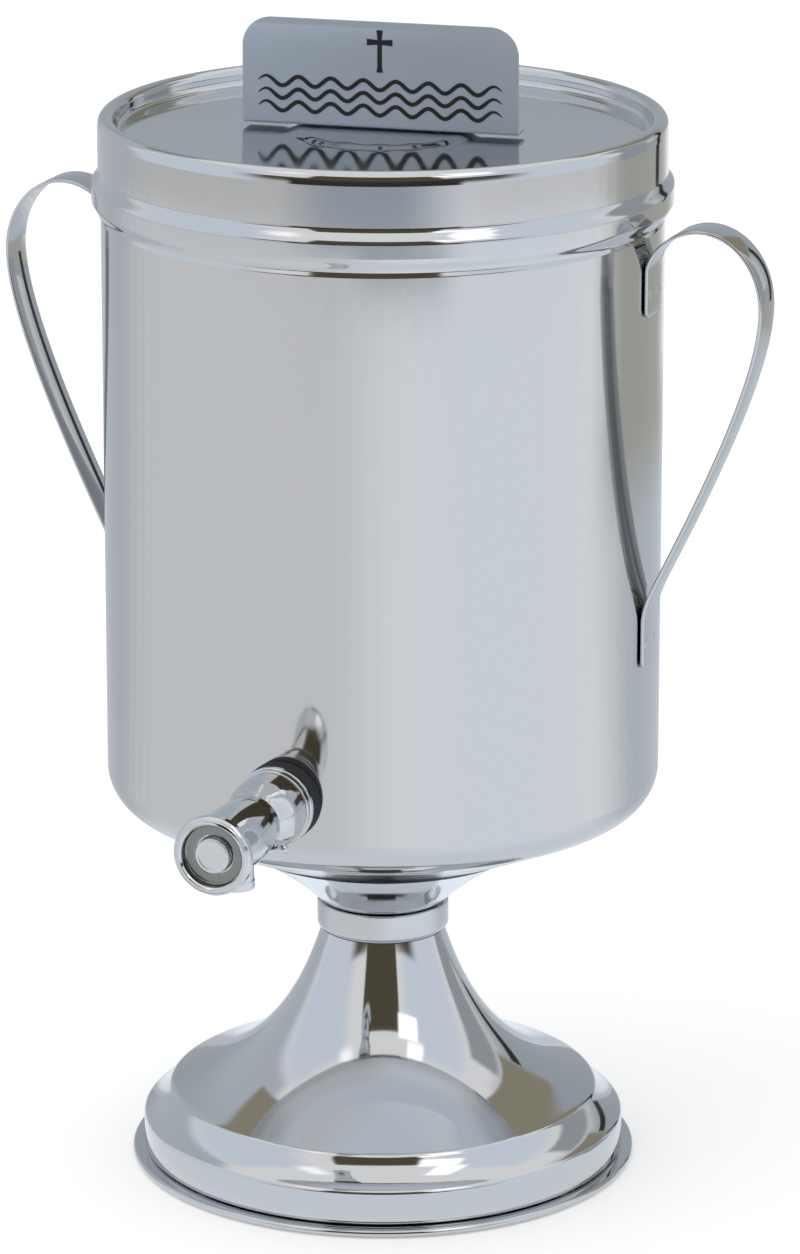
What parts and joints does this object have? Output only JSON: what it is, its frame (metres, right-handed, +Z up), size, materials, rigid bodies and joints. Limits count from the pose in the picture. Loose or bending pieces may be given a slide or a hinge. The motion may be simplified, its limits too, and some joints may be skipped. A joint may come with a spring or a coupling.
{
  "type": "holy water urn",
  "caption": "Footed stainless water urn with a flared pedestal, two strap handles, a lift-off lid that carries a small sign, and a push-button tap.",
  "frame": {"origin": "centre of the flat felt face that the urn stands on", "axes": "+Z up along the tank's axis; the tap points along -Y; the two handles lie on the X axis"},
  "size_m": [0.2902, 0.274, 0.4289],
  "materials": {
    "polished_steel": "mirror-polished stainless steel",
    "brushed_tank": "bright stainless steel with a fine grain round the tank",
    "chrome": "polished chrome plate on brass",
    "button_metal": "satin metal",
    "sign_metal": "satin sheet with a dark printed ornament",
    "black_rubber": "black rubber",
    "brass": "turned brass",
    "fastener_steel": "plain zinc-plated steel",
    "base_felt": "dark green felt"
  },
  "bodies": {
    "root": {"base_felt": "base_felt", "base_plate": "polished_steel", "pedestal_base": "polished_steel", "neck_collar": "polished_steel", "pedestal_cup": "polished_steel", "tie_rod": "fastener_steel", "lower_tie_washer": "fastener_steel", "lower_tie_nut": "fastener_steel", "upper_tie_washer": "fastener_steel", "upper_tie_nut": "fastener_steel", "tank": "brushed_tank", "handle_right": "polished_steel", "handle_left": "polished_steel", "faucet_body": "chrome", "faucet_spout": "chrome", "outer_gasket": "black_rubber", "inner_gasket": "black_rubber", "shank_washer": "fastener_steel", "shank_nut": "brass", "packing_gland": "brass", "stem_seal": "black_rubber", "spring_seat": "fastener_steel", "faucet_bezel": "chrome", "return_spring": "fastener_steel"},
    "lid": {"lid": "polished_steel", "sign_plate": "sign_metal", "sign_screw_left": "fastener_steel", "sign_nut_left": "fastener_steel", "sign_screw_right": "fastener_steel", "sign_nut_right": "fastener_steel"},
    "button": {"push_button": "button_metal", "valve_stem": "brass", "valve_disc": "black_rubber", "valve_retainer": "brass"}
  },
  "joints": [
    {"name": "lid_lift", "type": "slide", "parent": "root", "child": "lid", "axis": [0, 0, 1], "range_m": [0, 0.06]},
    {"name": "button_push", "type": "slide", "parent": "root", "child": "button", "axis": [0, 1, 0], "range_m": [0, 0.0045], "stiffness_N_per_m": 600, "springref_m": -0.004, "deforming": ["return_spring"]}
  ]
}
